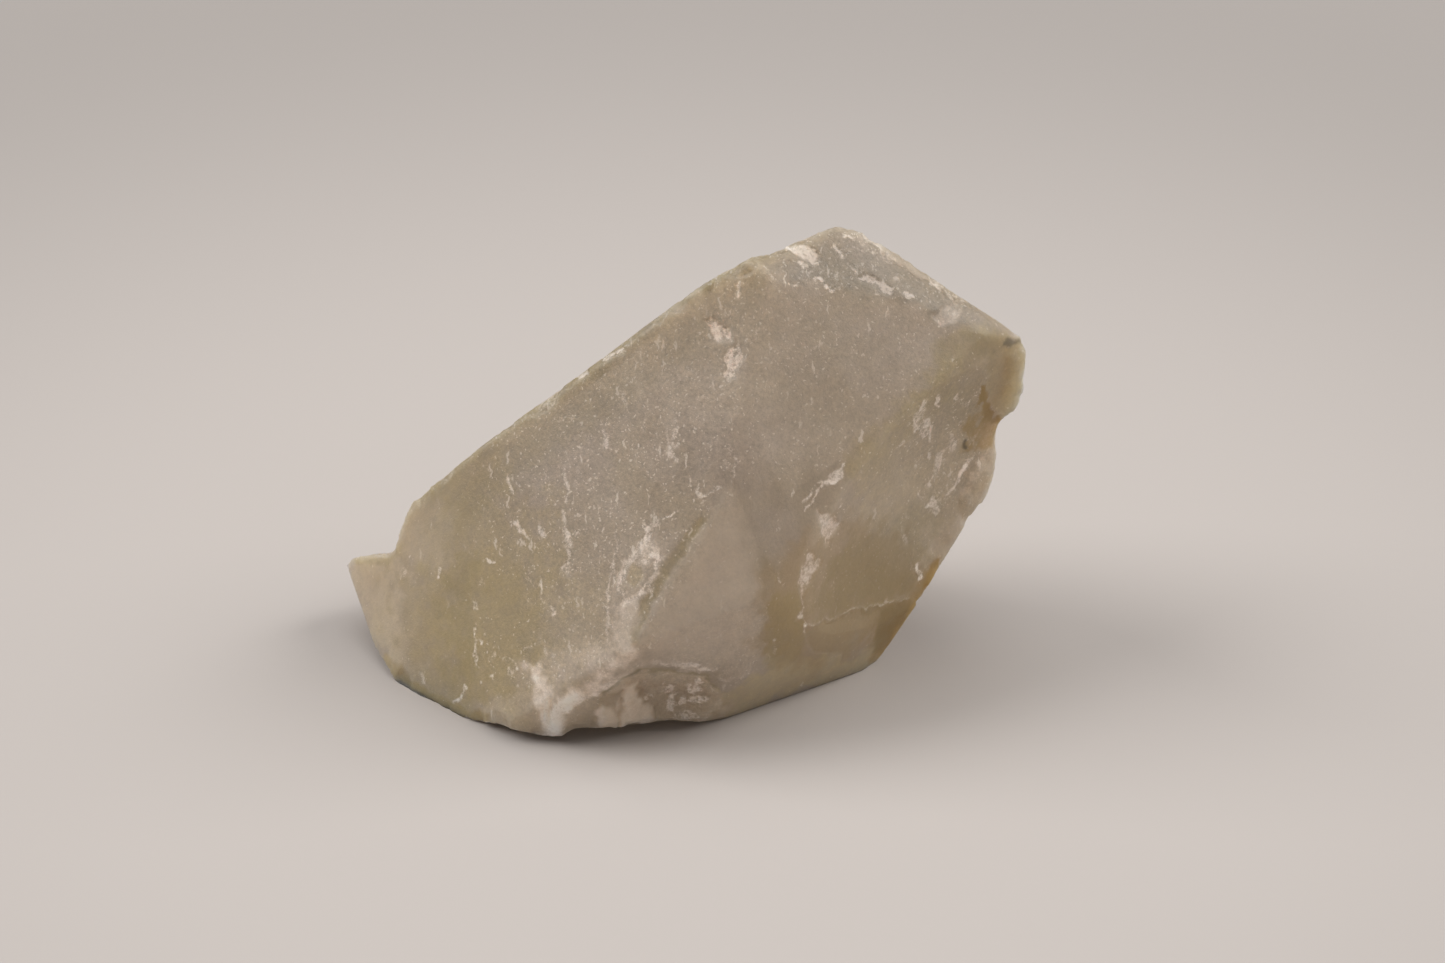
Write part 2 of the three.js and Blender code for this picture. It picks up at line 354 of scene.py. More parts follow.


# Marks on the front. Their places are pixels of the camera's frame, across and down from its top left
# corner, and reach is in pixels too. A line or a patch fades out over its reach, with a border as ragged as
# the given mm or as usualRagged. cut is a depth in mm. The rest are strengths: white bruise, milky veil,
# olive body, pale (body tone, and painted light in the marks noted so), dark (dark spots, and painted shade
# in the marks noted so), rust, coarse grit and the frost of fine flecks.
frontMarks = {
    "tipBruise": dict(reach=11, ragged=0.5, white=0.25, veil=0.5, line=[(628, 653), (607, 671), (585, 689),
        (565, 702), (554, 716), (551, 738)]),
    "tipBruiseCore": dict(reach=13, ragged=0.4, cut=-0.1, white=0.65, veil=1, line=[(570, 697), (556, 712),
        (552, 736)]),
    "tipBruiseArm": dict(reach=9.5, ragged=0.5, white=0.2, veil=0.75, line=[(536, 670), (543, 690),
        (549, 716)]),
    "tipVeil": dict(reach=27.5, ragged=0.6, white=0.05, veil=0.28, patch=[(520, 668), (545, 655), (600, 640),
        (640, 640), (640, 662), (600, 690), (570, 720), (556, 738), (545, 735), (535, 700)]),
    "tipFanA": dict(reach=8, ragged=0.25, white=0.15, veil=0.95, line=[(572, 690), (562, 706), (553, 724)]),
    "tipFanB": dict(reach=3.5, white=0.3, veil=0.5, line=[(629, 673), (608, 684), (586, 696), (566, 712)]),
    "tipFanC": dict(reach=2.5, white=0.25, veil=0.25, line=[(617, 661), (604, 671), (592, 684)]),
    "tipFanD": dict(reach=4, white=0.15, veil=0.55, line=[(536, 678), (544, 694), (549, 712)]),
    # painted light: the pale lifts the downward-facing foot of the tip; the olive is the stone's own tone
    "tipPaintedLight": dict(reach=14, ragged=0.6, olive=0.35, pale=0.4, patch=[(498, 694), (540, 690), (566, 706),
        (600, 700), (606, 726), (556, 730), (520, 730), (486, 722)]),
    "warmShoulder": dict(reach=26, ragged=1.2, olive=0.4, pale=0.3, frost=0.5, patch=[(540, 590), (605, 582),
        (612, 640), (590, 668), (540, 664)]),
    "tipGroove": dict(reach=3, ragged=0.2, cut=0.25, line=[(549, 700), (550, 722)]),
    "streakLongLow": dict(reach=8, ragged=0.45, cut=0.08, white=0.68, line=[(567, 538), (568, 554),
        (567, 572)]),
    "flakeUpper": dict(reach=3, ragged=0.4, cut=0.16, white=0.6, veil=0.3, patch=[(817, 509), (828, 514),
        (842, 525), (834, 536), (829, 547), (822, 545), (821, 528)]),
    "flakeLower": dict(reach=3, ragged=0.45, cut=0.16, white=0.6, veil=0.25, patch=[(796, 582), (806, 562),
        (812, 555), (822, 558), (812, 578), (802, 600)]),
    "arcLine": dict(reach=2.4, cut=-0.08, white=0.55, line=[(805, 625), (825, 620), (850, 609), (873, 603),
        (906, 600)]),
    "triangleFace": dict(reach=2.5, ragged=0.12, pale=0.25, patch=[(732, 487), (741, 502), (750, 525),
        (757, 550), (762, 580), (762, 615), (757, 645), (746, 678), (723, 674), (687, 668), (664, 665),
        (640, 664), (633, 650), (650, 612), (672, 572), (698, 536), (720, 497)]),
    # painted light: a pale pool lifting the triangle facet, which faces down and away from the lamps
    "trianglePaintedLight": dict(reach=27.5, ragged=0.4, pale=0.85, patch=[(731, 500), (742, 530), (754, 570),
        (758, 610), (750, 650), (720, 665), (660, 655), (650, 640), (665, 600), (700, 545)]),
    "ridgeShadow": dict(reach=8, cut=0.09, olive=0.5, dark=0.07, line=[(702, 520), (683, 548), (661, 582),
        (646, 608), (634, 642)]),
    "featherOuter": dict(reach=4.5, ragged=0.45, cut=0.05, white=0.55, veil=0.1, line=[(647, 527),
        (642, 538), (637, 548), (627, 562), (623, 578), (622, 592), (622, 605)]),
    "featherInner": dict(reach=5.5, ragged=0.6, cut=0.05, white=0.5, veil=0.2, line=[(650, 558), (659, 563),
        (657, 575), (649, 588), (639, 596), (623, 606)]),
    "featherSheen": dict(reach=7, ragged=0.6, veil=0.12, pale=0.6, patch=[(617, 606), (637, 602), (641, 622),
        (634, 646), (618, 654), (613, 630)]),
    "featherKnot": dict(reach=5.3, ragged=0.5, white=0.35, veil=0.3, patch=[(640, 545), (652, 543),
        (660, 551), (656, 562), (645, 562), (638, 555)]),
    "featherHole": dict(reach=2.5, ragged=0.25, cut=0.08, olive=0.5, patch=[(634, 564), (643, 566),
        (641, 580), (633, 590), (629, 582)]),
    "featherMist": dict(reach=7, ragged=0.8, white=0.08, veil=0.15, patch=[(650, 528), (665, 545),
        (655, 580), (628, 610), (618, 650), (606, 650), (612, 600), (626, 556)]),
    "tipSpecks": dict(reach=8, ragged=1, white=0.2, veil=0.1, patch=[(588, 640), (612, 640), (615, 680),
        (590, 690)]),
    "rightLineTop": dict(reach=3, ragged=0.5, white=0.7, veil=0.25, patch=[(846, 462), (852, 458),
        (847, 470), (840, 481), (829, 484), (832, 472)]),
    "footFacet": dict(reach=3, ragged=0.4, cut=0.1, white=0.04, olive=0.4, dark=0.04, patch=[(806, 629),
        (826, 622), (850, 611), (876, 607), (874, 626), (858, 646), (840, 657), (820, 652), (806, 644)]),
    "footDark": dict(reach=10.5, ragged=0.4, olive=0.9, dark=0.3, rust=0.65, patch=[(880, 606), (907, 602),
        (910, 620), (880, 652), (868, 652), (878, 625)]),
    "rustEdge": dict(reach=12, ragged=0.4, rust=1, line=[(937, 565), (926, 588), (915, 606), (900, 622),
        (884, 652)]),
    "frostLeft": dict(reach=53, ragged=2, frost=0.75, patch=[(511, 355), (638, 260), (754, 270), (765, 397),
        (722, 503), (659, 629), (596, 650), (522, 608), (469, 482)]),
    "frostCap": dict(reach=16, ragged=0.8, frost=1, grit=0.35, patch=[(775, 249), (849, 223), (902, 260),
        (997, 323), (955, 328), (902, 297), (817, 286), (765, 270)]),
    "frostTip": dict(reach=32, ragged=1.5, frost=0.35, patch=[(469, 629), (596, 608), (627, 672), (564, 735),
        (490, 724)]),
    "frostRight": dict(reach=32, ragged=1.5, frost=0.45, patch=[(902, 376), (976, 355), (1008, 439),
        (955, 503), (902, 460)]),
    # painted shade: darkens the top cap, which faces the lamp overhead
    "capPaintedShade": dict(reach=16, ragged=0.6, olive=0.08, dark=0.28, patch=[(765, 270), (839, 228), (891, 249),
        (1008, 328), (955, 325), (902, 296), (817, 285)]),
    # painted light: the pale in these two patches lifts the right faces to even out their shading; their
    # frost is the stone's own flecks
    "faceRightPaintedLight": dict(reach=26.5, ragged=1, pale=0.3, frost=0.45, patch=[(765, 281), (817, 291), (902, 302),
        (955, 334), (902, 397), (849, 460), (786, 492), (754, 471)]),
    "faceSidePaintedLight": dict(reach=26.5, ragged=1, pale=0.1, frost=0.3, patch=[(902, 397), (997, 429), (986, 503),
        (923, 566), (817, 608), (807, 545), (849, 460)]),
    "oliveLeft": dict(reach=62, ragged=2.5, olive=0.5, patch=[(405, 520), (470, 460), (540, 520), (575, 600),
        (560, 700), (520, 722), (440, 700), (395, 660), (390, 590)]),
    "oliveCore": dict(reach=45, ragged=2.5, olive=0.55, patch=[(430, 560), (500, 560), (540, 610),
        (540, 670), (490, 705), (440, 680)]),
    "oliveRight": dict(reach=30, ragged=2, olive=0.36, patch=[(900, 400), (960, 350), (1020, 340),
        (1022, 400), (1000, 440), (985, 490), (935, 570), (880, 560), (860, 480)]),
    "cornerEdge": dict(reach=7, ragged=0.5, olive=0.6, dark=0.2, line=[(1022, 372), (1018, 394), (1006, 412),
        (1000, 428)]),
    "rimGreen": dict(reach=17, ragged=0.9, olive=0.1, pale=0.35, line=[(996, 448), (990, 478), (985, 503),
        (968, 525), (950, 545), (940, 560)]),
    "rightWarm": dict(reach=30, ragged=1.2, olive=0.2, pale=0.3, patch=[(900, 470), (960, 440), (985, 480),
        (960, 530), (910, 580), (870, 560), (860, 500)]),
    "lowWarm": dict(reach=28, ragged=1.2, rust=0.4, patch=[(790, 540), (850, 520), (915, 545), (925, 580),
        (890, 640), (800, 675), (755, 650), (760, 590)]),
    "sideStreakB": dict(reach=4, ragged=0.6, white=0.55, veil=0.15, line=[(955, 440), (946, 456), (936, 474),
        (930, 490)]),
    "sideStreakC": dict(reach=5, ragged=0.6, white=0.3, veil=0.3, line=[(990, 450), (976, 470), (962, 498)]),
    "notchVeil": dict(reach=4, ragged=0.6, veil=0.35, patch=[(974, 430), (992, 426), (992, 446),
        (978, 452)]),
    # The next four marks are painted shade along the upper rims, darkening the band that the lamps light up;
    # the last also carries the rim's own olive outline.
    "rimPaintedShade": dict(reach=17, olive=0.3, dark=0.24, line=[(425, 496), (450, 468), (508, 424), (606, 358),
        (683, 293), (705, 276)]),
    "rimShade": dict(reach=48, ragged=0.8, olive=0.35, dark=0.1, line=[(440, 510), (520, 440), (620, 372),
        (700, 305), (740, 270)]),
    "rimPaintedShadeTop": dict(reach=14, olive=0.15, dark=0.22, line=[(700, 281), (745, 261), (790, 245), (835, 226),
        (864, 221)]),
    "rimLine": dict(reach=6, olive=0.6, dark=0.14, line=[(409, 502), (480, 441), (560, 386), (640, 331),
        (700, 288), (738, 262)]),
    "cornerRim": dict(reach=6, ragged=0.4, olive=0.5, dark=0.16, line=[(1018, 338), (1024, 352), (1025, 378),
        (1018, 402)]),
    "edgeNotch": dict(reach=16, cut=0.22, line=[(944, 548), (938, 562)]),
    "notchAbove": dict(reach=7, cut=0.25, line=[(1005, 470), (998, 478)]),
    # painted shade: a warm olive-brown strip along the shaded lower-left foot
    "footPaintedShade": dict(reach=9, ragged=0.5, olive=0.8, rust=0.35, line=[(388, 662), (405, 686), (430, 698),
        (455, 710), (485, 724)]),
    "footRust": dict(reach=8.5, ragged=0.5, rust=0.7, line=[(890, 637), (884, 650), (877, 660)]),
    "stepShade": dict(reach=5.5, olive=0.6, dark=0.14, line=[(352, 559), (367, 561), (388, 562),
        (396, 552)]),
    "bladeOlive": dict(reach=18, ragged=1.2, olive=0.3, pale=0.25, patch=[(356, 585), (372, 640), (392, 675),
        (404, 640), (396, 600), (372, 575)]),
    "sideNotchA": dict(reach=10.5, ragged=0.4, cut=0.3, line=[(1016, 436), (1009, 446)]),
    "sideNotchB": dict(reach=8, ragged=0.4, cut=0.28, line=[(973, 508), (965, 520)]),
    "sideNotchC": dict(reach=6, ragged=0.4, cut=0.25, line=[(925, 590), (919, 598)]),
    "cornerBulge": dict(reach=16, cut=-0.6, line=[(1018, 362), (1021, 378), (1016, 395), (1008, 408)]),
    "sideBulge": dict(reach=17, cut=-0.42, line=[(983, 474), (979, 490), (973, 504)]),
    "frostUpper": dict(reach=34, ragged=1.2, frost=0.75, patch=[(596, 390), (640, 310), (700, 258),
        (760, 246), (752, 330), (705, 430), (640, 450)]),
    "rightPatch": dict(reach=3, ragged=0.4, white=0.5, patch=[(928, 506), (934, 500), (938, 512), (933, 516),
        (929, 511)]),
    # painted light: the pale in the next two patches lifts the downward-facing arch recess; their olive, rust
    # and frost are the arch's own tones
    "archOliveAndPaintedLight": dict(reach=3, cut=0.05, olive=1, pale=0.7, frost=1, patch=[(604, 690), (616, 682),
        (639, 673), (664, 671), (687, 673), (706, 678), (720, 688), (724, 702), (712, 716), (690, 722),
        (655, 727), (652, 700), (640, 686), (622, 686)]),
    "archWarmPaintedLight": dict(reach=10, ragged=0.8, pale=0.9, rust=0.3, patch=[(600, 690), (640, 678), (700, 682),
        (735, 700), (720, 715), (660, 722), (600, 725)]),
    "archPuff": dict(reach=9, ragged=0.4, cut=-0.3, patch=[(600, 702), (640, 690), (700, 694), (728, 705),
        (705, 717), (650, 722), (600, 722)]),
    # painted light: a pale pool lifting the lower triangle, which faces down
    "lowerTrianglePaintedLight": dict(reach=22, ragged=1, pale=0.45, patch=[(690, 600), (735, 590), (750, 640), (720, 665),
        (680, 660)]),
    "archFlecks": dict(reach=4.2, ragged=1.8, white=0.7, patch=[(655, 690), (700, 688), (720, 700),
        (705, 712), (665, 716)]),
    "archLine": dict(reach=3.7, cut=0.06, olive=1, dark=0.3, line=[(603, 692), (613, 684), (626, 677),
        (640, 673)]),
    "archLineRight": dict(reach=2.5, ragged=0.35, olive=0.8, dark=0.15, line=[(640, 673), (664, 671),
        (687, 673), (706, 678), (719, 687)]),
    "archLip": dict(reach=3, ragged=0.5, white=0.4, veil=0.15, line=[(628, 668), (650, 664), (672, 664),
        (692, 667), (712, 673)]),
    "flute": dict(reach=8.5, ragged=0.6, cut=-0.25, white=0.3, veil=0.85, patch=[(621, 688), (634, 686),
        (645, 698), (650, 727), (619, 728), (618, 702)]),
    "fluteLeft": dict(reach=6, ragged=0.5, cut=-0.15, white=0.1, veil=0.7, patch=[(593, 714), (599, 704),
        (611, 705), (618, 716), (616, 730), (596, 730)]),
    "fluteShade": dict(reach=4, ragged=0.4, cut=0.1, olive=0.8, dark=0.08, patch=[(598, 697), (612, 692),
        (621, 690), (619, 704), (606, 703), (598, 708)]),
    # the groove is cut into the surface; its olive and dark are painted shade inside it
    "cleftPaintedShade": dict(reach=2.6, ragged=0.25, cut=0.18, olive=0.7, dark=0.1, line=[(622, 690), (619, 705),
        (618, 716), (621, 729)]),
    "triangleLow": dict(reach=4, ragged=0.5, pale=0.2, dark=0.04, grit=1, frost=0.6, patch=[(660, 664),
        (672, 640), (700, 620), (728, 608), (762, 600), (765, 620), (762, 644), (746, 678), (720, 674)]),
    "capFlake": dict(reach=3.8, cut=0.2, white=0.78, veil=0.4, patch=[(788, 244), (803, 243), (822, 254),
        (815, 266), (798, 256)]),
    "faceFlake": dict(reach=3, ragged=0.5, cut=0.18, white=0.7, veil=0.2, patch=[(699, 315), (708, 320),
        (720, 319), (725, 330), (728, 345), (716, 343), (708, 328)]),
    "faceFlakeLow": dict(reach=3, ragged=0.8, cut=0.12, white=0.65, patch=[(737, 343), (742, 354),
        (737, 368), (731, 381), (720, 377), (724, 358)]),
    "capStrip": dict(reach=6.3, cut=0.1, white=0.9, line=[(866, 277), (878, 283), (889, 290)]),
    "capOval": dict(reach=3, cut=0.12, white=0.2, veil=0.5, patch=[(934, 314), (942, 305), (955, 303),
        (963, 312), (955, 322), (942, 325)]),
    "capRimA": dict(reach=9.5, ragged=1.1, white=0.55, veil=0.2, line=[(873, 236), (884, 246), (896, 258)]),
    "capRimC": dict(reach=5, ragged=0.85, cut=0.12, white=0.2, veil=0.3, line=[(893, 256), (912, 270),
        (936, 284)]),
    "capRimStep": dict(reach=6, ragged=0.55, cut=0.3, veil=0.2, line=[(872, 236), (884, 246)]),
    "capRimStepB": dict(reach=5, ragged=0.55, cut=0.25, line=[(944, 289), (956, 298)]),
    "capLeftStep": dict(reach=5, ragged=0.5, cut=0.22, white=0.3, line=[(800, 233), (812, 226), (826, 222)]),
    "rimChipA": dict(reach=5, ragged=0.4, cut=0.15, white=0.85, line=[(577, 377), (587, 371)]),
    "rimChipB": dict(reach=5, ragged=0.4, cut=0.15, white=0.85, line=[(604, 359), (620, 349)]),
    "cornerSpeck": dict(reach=4.2, ragged=0.4, dark=0.55, line=[(1006, 346), (1017, 339)]),
    "cornerOval": dict(reach=6.3, cut=0.12, olive=0.65, pale=0.12, dark=0.05, patch=[(988, 352), (1002, 346),
        (1018, 352), (1023, 375), (1016, 400), (1002, 410), (990, 404), (987, 380)]),
    "cornerGreen": dict(reach=12.5, ragged=0.6, olive=0.5, dark=0.12, patch=[(962, 336), (985, 326),
        (1012, 334), (1020, 350), (1000, 350), (986, 352), (975, 348)]),
    # painted shade: soft darkening along the crease between the right faces
    "creasePaintedShade": dict(reach=24.5, ragged=0.8, olive=0.42, dark=0.03, line=[(985, 335), (958, 350), (938, 389),
        (908, 422), (880, 447), (858, 462)]),
    "rustUpper": dict(reach=5.8, ragged=0.6, dark=0.08, rust=1, line=[(986, 388), (985, 400), (988, 412)]),
    "rustSpot": dict(reach=8, ragged=0.9, dark=0.12, rust=0.85, line=[(982, 424), (994, 420), (997, 430)]),
    "rustVeil": dict(reach=10.5, ragged=1, olive=0.4, rust=0.68, patch=[(968, 418), (990, 410), (998, 432),
        (992, 450), (972, 446), (964, 434)]),
    "rustDot": dict(reach=3, ragged=0.2, dark=0.7, rust=0.4, line=[(965, 441), (966, 446)]),
    # painted light: a pale pool lifting the upper face; its frost is the stone's own flecks
    "upperFacePaintedLight": dict(reach=42, ragged=1.5, pale=0.35, frost=0.3, patch=[(640, 300), (760, 260), (800, 330),
        (760, 420), (660, 420), (600, 380)]),
    "darkBand": dict(reach=20, ragged=1.5, olive=0.6, dark=0.08, line=[(468, 560), (462, 600), (460, 640),
        (470, 670)]),
    "lowBand": dict(reach=8, ragged=0.6, olive=1, pale=0.3, patch=[(655, 727), (692, 725), (728, 718),
        (760, 706), (797, 691), (830, 683), (864, 671), (880, 661), (896, 634), (880, 650), (850, 660),
        (810, 655), (775, 660), (752, 680), (735, 690), (700, 700)]),
    "lowWedge": dict(reach=12, ragged=0.6, olive=0.75, dark=0.08, patch=[(768, 600), (795, 590), (803, 630),
        (800, 660), (765, 672)]),
    "sideOlive": dict(reach=22, ragged=1, olive=0.7, dark=0.17, patch=[(830, 560), (880, 520), (935, 500),
        (925, 560), (905, 600), (850, 608), (815, 618)]),
    "paleTip": dict(reach=27.5, ragged=1.8, olive=0.3, pale=0.32, patch=[(350, 560), (390, 556), (398, 570),
        (392, 600), (400, 650), (420, 680), (396, 680), (375, 650), (360, 605)]),
    "paleLeft": dict(reach=18, ragged=1, pale=0.3, patch=[(415, 500), (440, 490), (450, 520), (440, 560),
        (415, 560), (405, 530)]),
}


# Thin white streaks and spots in the same units: reach, ragged, white and path.
whiteStreaks = {
    "leftEnd": [
        (4, 0.3, 0.68, [(508, 478), (511, 493)]), (2.6, 0.3, 0.7, [(517, 521), (520, 531), (526, 537)]),
        (3.5, 0.55, 0.7, [(475, 633), (476, 650), (475, 669)]), (3.75, 0.45, 0.7, [(465, 686), (455, 702)]),
        (4.5, 0.5, 0.75, [(438, 566), (438, 578)]), (2.6, 0.3, 0.9, [(487, 560), (494, 562)]),
        (5, 0.8, 0.6, [(508, 660), (514, 668), (521, 675)]),
    ],
    "lowerFace": [
        (3.75, 0.45, 0.6, [(564, 470), (568, 504)]), (4, 0.45, 0.6, [(564, 515), (567, 536)]),
        (3.6, 0.3, 0.7, [(540, 527), (546, 540)]), (2.2, 0.3, 0.65, [(530, 567), (531, 578), (534, 586)]),
        (3.6, 0.3, 0.7, [(540, 586), (541, 601)]), (4, 0.3, 0.68, [(555, 608), (557, 615)]),
        (4, 0.4, 0.7, [(523, 647), (530, 648)]), (4, 0.4, 0.68, [(546, 649), (546, 655)]),
        (4, 0.4, 0.6, [(774, 640), (774, 652)]),
        (4, 0.7, 0.45, [(664, 666), (690, 670), (712, 674), (738, 680), (748, 674)]),
    ],
    "upperFace": [
        (2.75, 0.45, 0.45, [(553, 395), (558, 425), (565, 470)]), (3, 0.5, 0.5, [(758, 328), (752, 341)]),
        (2.5, 0.45, 0.55, [(632, 355), (635, 370)]), (3, 0.45, 0.55, [(622, 392), (625, 402), (629, 415)]),
        (3, 0.45, 0.5, [(645, 414), (644, 437)]), (4, 0.45, 0.6, [(672, 416), (672, 440)]),
        (4.25, 0.45, 0.6, [(605, 433), (603, 447)]),
        (4.25, 0.75, 0.55, [(673, 447), (676, 456), (680, 466)]), (4.5, 0.65, 0.5, [(708, 394), (712, 398)]),
        (2.5, 0.45, 0.45, [(560, 415), (563, 428), (566, 441)]), (2.5, 0.55, 0.45, [(583, 430), (584, 452)]),
        (3, 0.65, 0.45, [(610, 460), (612, 480), (611, 500)]), (2.75, 0.55, 0.4, [(636, 455), (635, 474)]),
        (8, 1.2, 0.35, [(700, 420), (712, 440), (730, 470)]),
    ],
    "besideTriangle": [
        (2.6, 0.3, 0.7, [(689, 477), (690, 486), (695, 493), (706, 496), (720, 488)]),
        (4, 0.5, 0.6, [(734, 448), (738, 456), (736, 466), (734, 479)]),
        (2.6, 0.25, 0.3, [(712, 512), (690, 545), (668, 580), (651, 610), (640, 640)]),
        (3.6, 0.28, 0.6, [(677, 510), (664, 516), (652, 523), (645, 531), (643, 537)]),
        (2.6, 0.3, 0.5, [(672, 512), (657, 522), (650, 531), (646, 541)]),
        (3, 0.5, 0.6, [(655, 560), (655, 570), (646, 583), (638, 596)]),
        (2.8, 0.5, 0.5, [(640, 553), (633, 562), (628, 572), (625, 584)]),
        (3.5, 0.6, 0.4, [(672, 545), (684, 541), (698, 537)]),
        (3.6, 0.45, 0.6, [(618, 533), (617, 548), (615, 563), (609, 585), (607, 615), (607, 641)]),
        (3, 0.3, 0.6, [(719, 582), (727, 576)]), (4.5, 0.6, 0.65, [(781, 569), (783, 580)]),
    ],
    "rightSide": [
        (3, 0.4, 0.65, [(801, 600), (801, 612), (805, 629)]),
        (3, 0.4, 0.75, [(836, 480), (822, 489), (812, 500), (804, 512)]),
        (2.6, 0.3, 0.7, [(829, 481), (817, 486), (808, 496), (802, 505)]),
        (4, 0.4, 0.8, [(920, 563), (920, 576)]), (4, 0.6, 0.6, [(972, 455), (958, 478), (946, 502)]),
        (4, 0.5, 0.55, [(902, 440), (897, 452)]), (3, 0.5, 0.45, [(890, 520), (882, 536)]),
        (3.5, 0.3, 0.6, [(903, 536), (906, 540)]), (3, 0.3, 0.6, [(917, 492), (919, 499)]),
        (3.5, 0.4, 0.7, [(938, 392), (938, 406)]), (8, 1, 0.65, [(924, 412), (920, 424), (926, 434)]),
        (4, 0.5, 0.55, [(957, 398), (962, 404)]), (6, 0.7, 0.45, [(938, 496), (934, 504), (930, 514)]),
        (4, 0.5, 0.6, [(968, 464), (958, 476), (950, 488)]),
        (6, 0.8, 0.6, [(944, 450), (938, 462), (930, 470)]),
    ],
    "cap": [
        (2.5, 0.3, 0.7, [(778, 248), (792, 245)]), (2, 0.3, 0.7, [(806, 271), (829, 271)]),
        (4.5, 0.6, 0.65, [(767, 269), (774, 281)]), (3.5, 0.3, 0.7, [(742, 283), (741, 297)]),
        (3.5, 0.4, 0.75, [(909, 289), (912, 296)]), (8.5, 0.85, 0.5, [(936, 283), (950, 291), (964, 300)]),
    ],
}

# Short straight strokes: where each starts, how far it runs across and down, its reach and white.
whiteStrokes = {
    "leftEnd": [
        (402, 568, 1, 10, 4.4, 0.45), (411, 583, 1, 6, 4.4, 0.45), (475, 597, 2, 10, 4.4, 0.65),
        (474, 626, 1, 5, 4, 0.65), (482, 640, 1, 5, 3.5, 0.7), (491, 674, 0, 8, 3.25, 0.65),
        (495, 650, -1, 6, 3.75, 0.5), (423, 676, 3, 9, 4.4, 0.5), (473, 554, 2, 8, 3.75, 0.45),
        (484, 578, -3, 7, 3.75, 0.45),
    ],
    "upperFace": [
        (676, 368, 3, 16, 3.25, 0.45), (640, 352, 3, 26, 2.75, 0.45), (600, 384, -1, 18, 3, 0.4),
        (652, 452, 1, 20, 3.25, 0.45), (618, 500, 1, 16, 3, 0.45), (575, 470, 1, 12, 3.75, 0.45),
        (700, 400, 2, 8, 4.4, 0.45), (566, 395, 3, 22, 3.25, 0.5), (546, 470, -1, 24, 3.25, 0.5),
        (590, 440, 1, 14, 2.75, 0.45), (664, 430, 4, 20, 3.75, 0.45), (727, 445, 3, 8, 4.4, 0.5),
        (617, 560, -1, 14, 3, 0.5), (505, 420, 4, 14, 3.75, 0.45),
    ],
}

# The smallest ones take their reach and white from three sizes in turn.
whiteTicks = {
    "cap": {
        "sizes": [(3, 0.63), (3.5, 0.74), (4, 0.85)],
        "strokes": [
            (820, 262, 7, 6), (835, 250, 9, 6), (850, 262, 8, 6), (862, 275, 6, 6), (845, 236, 7, 5),
            (828, 240, 6, 6), (880, 279, 9, 7), (905, 290, 7, 6), (893, 274, 6, 5), (870, 255, 6, 5),
            (812, 280, 10, 3), (790, 284, 10, 2), (925, 297, 6, 5), (805, 250, 5, 5), (838, 273, 7, 4),
            (857, 246, 6, 5), (799, 262, 5, 4), (916, 281, 6, 5), (875, 292, 7, 4), (826, 287, 8, 2),
        ],
    },
    "rightFace": {
        "sizes": [(2.75, 0.36), (3.1, 0.42), (3.5, 0.49)],
        "strokes": [
            (842, 320, -4, 6), (856, 352, -3, 6), (878, 330, -4, 7), (900, 346, -3, 6), (832, 372, -4, 7),
            (866, 385, -3, 6), (890, 398, -4, 8), (815, 345, -3, 5), (850, 410, -4, 7), (910, 322, -4, 6),
            (826, 425, -3, 7), (871, 430, -3, 6), (795, 392, -3, 7), (840, 455, -4, 6),
        ],
    },
}
strokeRagged = 0.45  # mm, the border of every stroke and tick
usualRagged = 0.3  # mm
lineCore = 0.25  # share of a line's reach over which it is at full strength
border = {"sizes": (1.3, 0.55), "smallShare": 0.6, "seeds": (11, 12)}  # mm, the wander of the ragged borders

noiseShift = 7.31  # how far each seed moves the pattern, in cells
cornerPrimes = (73856093, 19349663, 83492791)
seedPrime = 2654435761
mixPrimes = (1274126177, 2246822519)


# Smooth noise between -1 and 1 with lumps of the given size. Each corner of a grid has a value of its own,
# made by scrambling its whole-number place, and a point takes a blend of the eight corners around it.
def cloud(points, size, seed):
    place = points / size + seed * noiseShift
    low = np.floor(place).astype(np.int64)
    part = place - low
    part = part * part * (3 - 2 * part)
    total = np.zeros(len(points))
    for corner in range(8):
        bits = np.array([corner & 1, corner >> 1 & 1, corner >> 2 & 1])
        at = low + bits
        crossed = at * cornerPrimes
        mixed = crossed[:, 0] ^ crossed[:, 1] ^ crossed[:, 2] ^ (seed * seedPrime)
        mixed = (mixed & 0xFFFFFFFF) * mixPrimes[0] & 0xFFFFFFFF
        mixed = ((mixed >> 15) ^ mixed) * mixPrimes[1] & 0xFFFFFFFF
        value = ((mixed >> 8) & 0xFFFF) / 32767.5 - 1
        total += value * np.prod(np.where(bits == 1, part, 1 - part), axis=1)
    return total


def outlineDistance(places, outline):
    closed = np.vstack([outline, outline[:1]])
    inside = np.zeros(len(places), bool)
    for (x0, y0), (x1, y1) in zip(closed[:-1], closed[1:]):
        crosses = (y0 > places[:, 1]) != (y1 > places[:, 1])
        if y0 != y1:
            inside ^= crosses & (places[:, 0] < x0 + (places[:, 1] - y0) * (x1 - x0) / (y1 - y0))
    return np.where(inside, -1, 1) * pathDistance(places, closed)


def onSightPlane(spots):
    middle = np.array(cameraSetup["frame"]) / 2
    return (np.array(spots) - middle) * (pixel, -pixel)


def makeStroke(x, y, across, down, reach, white):
    return dict(line=[(x, y), (x + across, y + down)], reach=reach, ragged=strokeRagged, white=white)


def allMarks():
    yield from frontMarks.values()
    for streaks in whiteStreaks.values():
        for reach, ragged, white, path in streaks:
            yield dict(line=path, reach=reach, ragged=ragged, white=white)
    for strokes in whiteStrokes.values():
        for stroke in strokes:
            yield makeStroke(*stroke)
    for ticks in whiteTicks.values():
        for turn, stroke in enumerate(ticks["strokes"], 1):
            yield makeStroke(*stroke, *ticks["sizes"][turn % 3])


